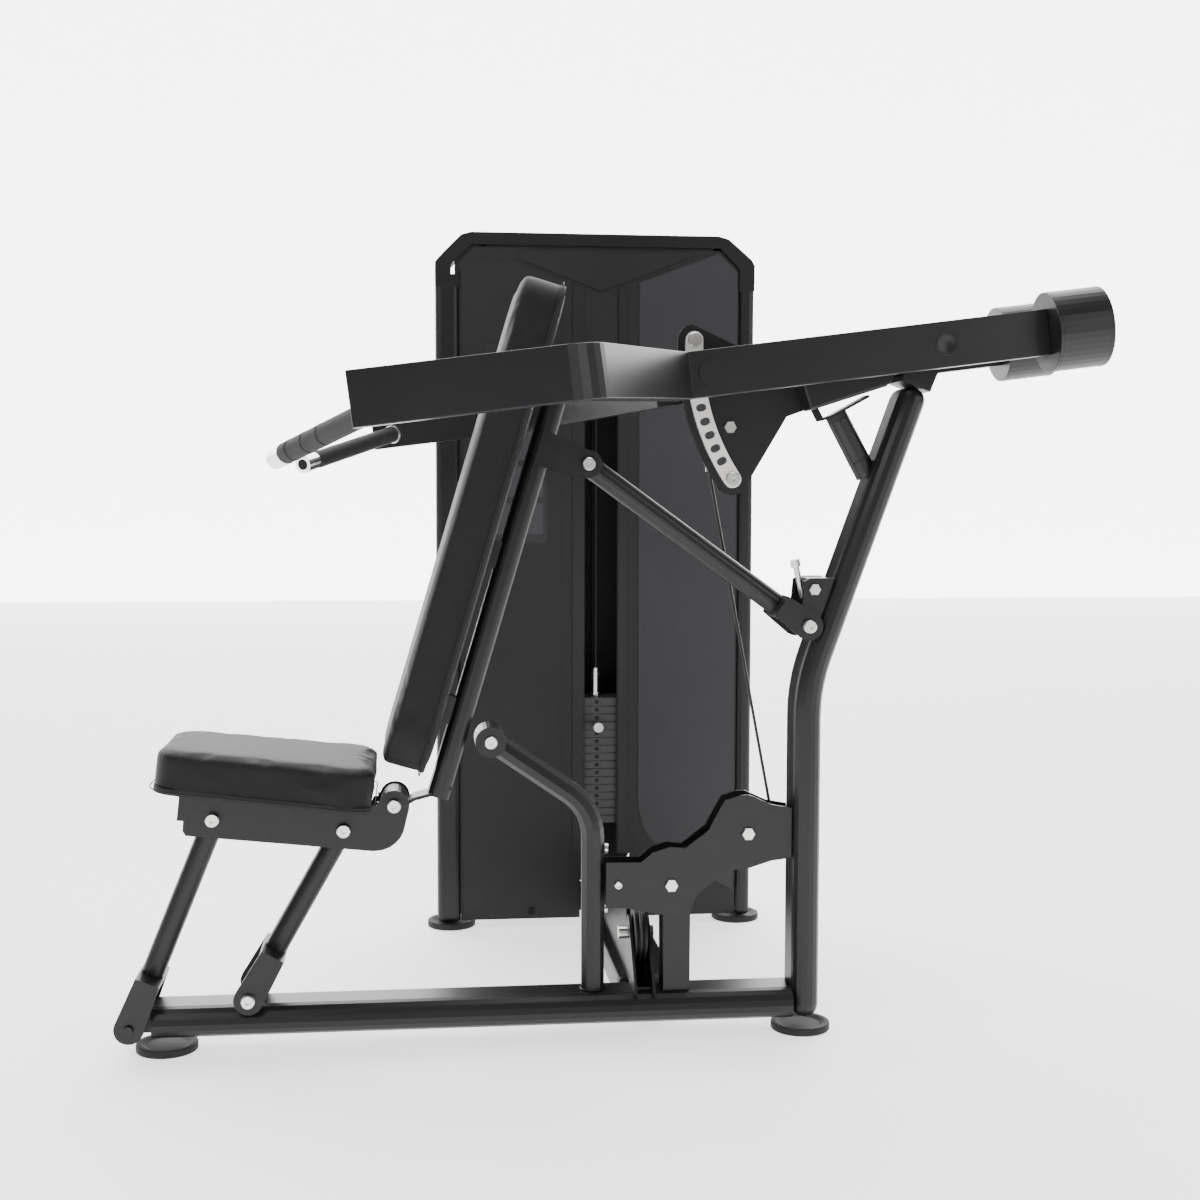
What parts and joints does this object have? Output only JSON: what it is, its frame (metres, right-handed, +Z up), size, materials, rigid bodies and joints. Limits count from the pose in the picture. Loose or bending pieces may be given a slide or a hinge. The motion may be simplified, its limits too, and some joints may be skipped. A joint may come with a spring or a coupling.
{
  "type": "selectorised multi press machine",
  "caption": "Pin-loaded multi press: linked seat and backrest, swinging press arms with counterweights, start-position arc, cabled weight tower.",
  "frame": {"origin": "floor level, under the centre of the front foot", "axes": "+X to the rear of the machine, +Y to the weight tower, +Z up"},
  "size_m": [1.736, 1.578, 1.565],
  "materials": {
    "black_paint": "satin black powder coat",
    "zinc": "bright zinc plated steel",
    "chrome": "polished chrome",
    "vinyl": "textured black vinyl",
    "rubber": "matte black rubber",
    "cover": "charcoal moulded cover",
    "nylon": "black nylon",
    "iron": "black cast iron",
    "cable": "black coated steel cable"
  },
  "bodies": {
    "frame": {"base_beam": "black_paint", "connecting_beam": "black_paint", "foot_front": "rubber", "foot_rear": "rubber", "foot_tower_left": "rubber", "foot_tower_right": "rubber", "rear_upright": "black_paint", "bumper_cap": "rubber", "pivot_yoke": "black_paint", "back_post": "black_paint", "pulley_plates": "black_paint", "floor_pulley_bracket": "black_paint", "pulley_c_bolt": "zinc", "cable_guard": "black_paint", "tower_post_left": "black_paint", "tower_post_right": "black_paint", "tower_sill": "black_paint", "tower_cap": "black_paint", "cover_left": "cover", "cover_right": "cover", "cover_rear": "cover", "guide_rods": "chrome", "weights_resting": "iron", "strut_anchor": "black_paint", "strut_bolt": "zinc", "rear_leg_bolt": "zinc", "cable_lever": "cable", "cable_run": "cable", "cable_stack": "cable"},
    "wheel_a": {"pulley_a": "nylon"},
    "wheel_b": {"pulley_b": "nylon"},
    "wheel_c": {"pulley_c": "nylon"},
    "wheel_d": {"pulley_d": "nylon"},
    "wheel_e": {"pulley_e": "nylon"},
    "lever": {"lever_channel": "black_paint", "lever_plate": "black_paint", "selector_arc": "zinc"},
    "press_arms": {"arm_near": "black_paint", "arm_far": "black_paint", "counterweight_near": "black_paint", "counterweight_far": "black_paint", "grip_near": "rubber", "grip_far": "rubber", "grip_cap_near": "chrome", "grip_cap_far": "chrome", "pivot_shaft": "zinc"},
    "arm_lock": {"arm_pin": "zinc"},
    "stack": {"weights_lifted": "iron", "selector_stem": "zinc"},
    "stack_pin": {"weight_pin": "zinc"},
    "leg_front": {"front_leg": "black_paint"},
    "leg_rear": {"rear_leg": "black_paint"},
    "seat": {"seat_frame": "black_paint", "seat_pad": "vinyl", "seat_front_bolt": "zinc", "seat_back_bolt": "zinc"},
    "backrest": {"back_frame": "black_paint", "back_pad": "vinyl"},
    "back_strut": {"strut": "black_paint"},
    "strut_lock": {"back_pull_pin": "zinc"}
  },
  "joints": [
    {"name": "lever_hinge", "type": "hinge", "parent": "frame", "child": "lever", "pos_m": [1.3636, 0, 1.25], "axis": [0, 1, 0], "range_deg": [0, 45]},
    {"name": "press_arm_hinge", "type": "hinge", "parent": "lever", "child": "press_arms", "pos_m": [1.3636, 0, 1.25], "axis": [0, 1, 0], "range_deg": [-21.48, 3.58]},
    {"name": "arm_pin_slide", "type": "slide", "parent": "press_arms", "child": "arm_lock", "axis": [0, -1, 0], "range_m": [-0.018, 0]},
    {"name": "stack_slide", "type": "slide", "parent": "frame", "child": "stack", "axis": [0, 0, 1], "range_m": [0, 0.3], "deforming": ["cable_stack"]},
    {"name": "weight_pin_slide", "type": "slide", "parent": "stack", "child": "stack_pin", "axis": [0, -1, 0], "range_m": [0, 0.1]},
    {"name": "front_leg_hinge", "type": "hinge", "parent": "frame", "child": "leg_front", "pos_m": [-0.056, 0, 0.057], "axis": [0, -1, 0], "range_deg": [0, 30]},
    {"name": "rear_leg_hinge", "type": "hinge", "parent": "frame", "child": "leg_rear", "pos_m": [0.149, 0, 0.1024], "axis": [0, -1, 0], "range_deg": [0, 35.5]},
    {"name": "seat_hinge", "type": "hinge", "parent": "leg_front", "child": "seat", "pos_m": [0.0906, 0, 0.4215], "axis": [0, -1, 0], "range_deg": [-26, 0]},
    {"name": "backrest_hinge", "type": "hinge", "parent": "seat", "child": "backrest", "pos_m": [0.4042, 0, 0.4401], "axis": [0, -1, 0], "range_deg": [-22, 0]},
    {"name": "strut_hinge", "type": "hinge", "parent": "frame", "child": "back_strut", "pos_m": [1.1455, 0, 0.7524], "axis": [0, -1, 0], "range_deg": [0, 10.6]},
    {"name": "back_pin_slide", "type": "slide", "parent": "frame", "child": "strut_lock", "axis": [-0.2228, 0, 0.9749], "range_m": [0, 0.012], "stiffness_N_per_m": 500, "springref_m": -0.02},
    {"name": "pulley_a_spin", "type": "hinge", "parent": "frame", "child": "wheel_a", "pos_m": [1.043, 0, 0.372], "axis": [0, 1, 0], "range_deg": [-317, 0]},
    {"name": "pulley_b_spin", "type": "hinge", "parent": "frame", "child": "wheel_b", "pos_m": [0.902, 0, 0.28], "axis": [0, 1, 0], "range_deg": [0, 317]},
    {"name": "pulley_c_spin", "type": "hinge", "parent": "frame", "child": "wheel_c", "pos_m": [0.852, 0.053, 0.175], "axis": [1, 0, 0], "range_deg": [-317, 0]},
    {"name": "pulley_d_spin", "type": "hinge", "parent": "frame", "child": "wheel_d", "pos_m": [0.852, 0.85, 0.175], "axis": [1, 0, 0], "range_deg": [-317, 0]},
    {"name": "pulley_e_spin", "type": "hinge", "parent": "frame", "child": "wheel_e", "pos_m": [0.852, 0.85, 1.43], "axis": [1, 0, 0], "range_deg": [-317, 0]}
  ],
  "couplings": [
    {"joint": "stack_slide", "follows": "lever_hinge", "m_per_rad": 0.3667},
    {"joint": "rear_leg_hinge", "follows": "front_leg_hinge", "ratio": 1.1721},
    {"joint": "seat_hinge", "follows": "front_leg_hinge", "ratio": -0.8503},
    {"joint": "backrest_hinge", "follows": "front_leg_hinge", "ratio": -0.7086},
    {"joint": "strut_hinge", "follows": "front_leg_hinge", "ratio": 0.3448},
    {"joint": "pulley_a_spin", "follows": "lever_hinge", "ratio": -6.9058},
    {"joint": "pulley_b_spin", "follows": "lever_hinge", "ratio": 6.9058},
    {"joint": "pulley_c_spin", "follows": "lever_hinge", "ratio": -6.9058},
    {"joint": "pulley_d_spin", "follows": "lever_hinge", "ratio": -6.9058},
    {"joint": "pulley_e_spin", "follows": "lever_hinge", "ratio": -6.9058}
  ]
}
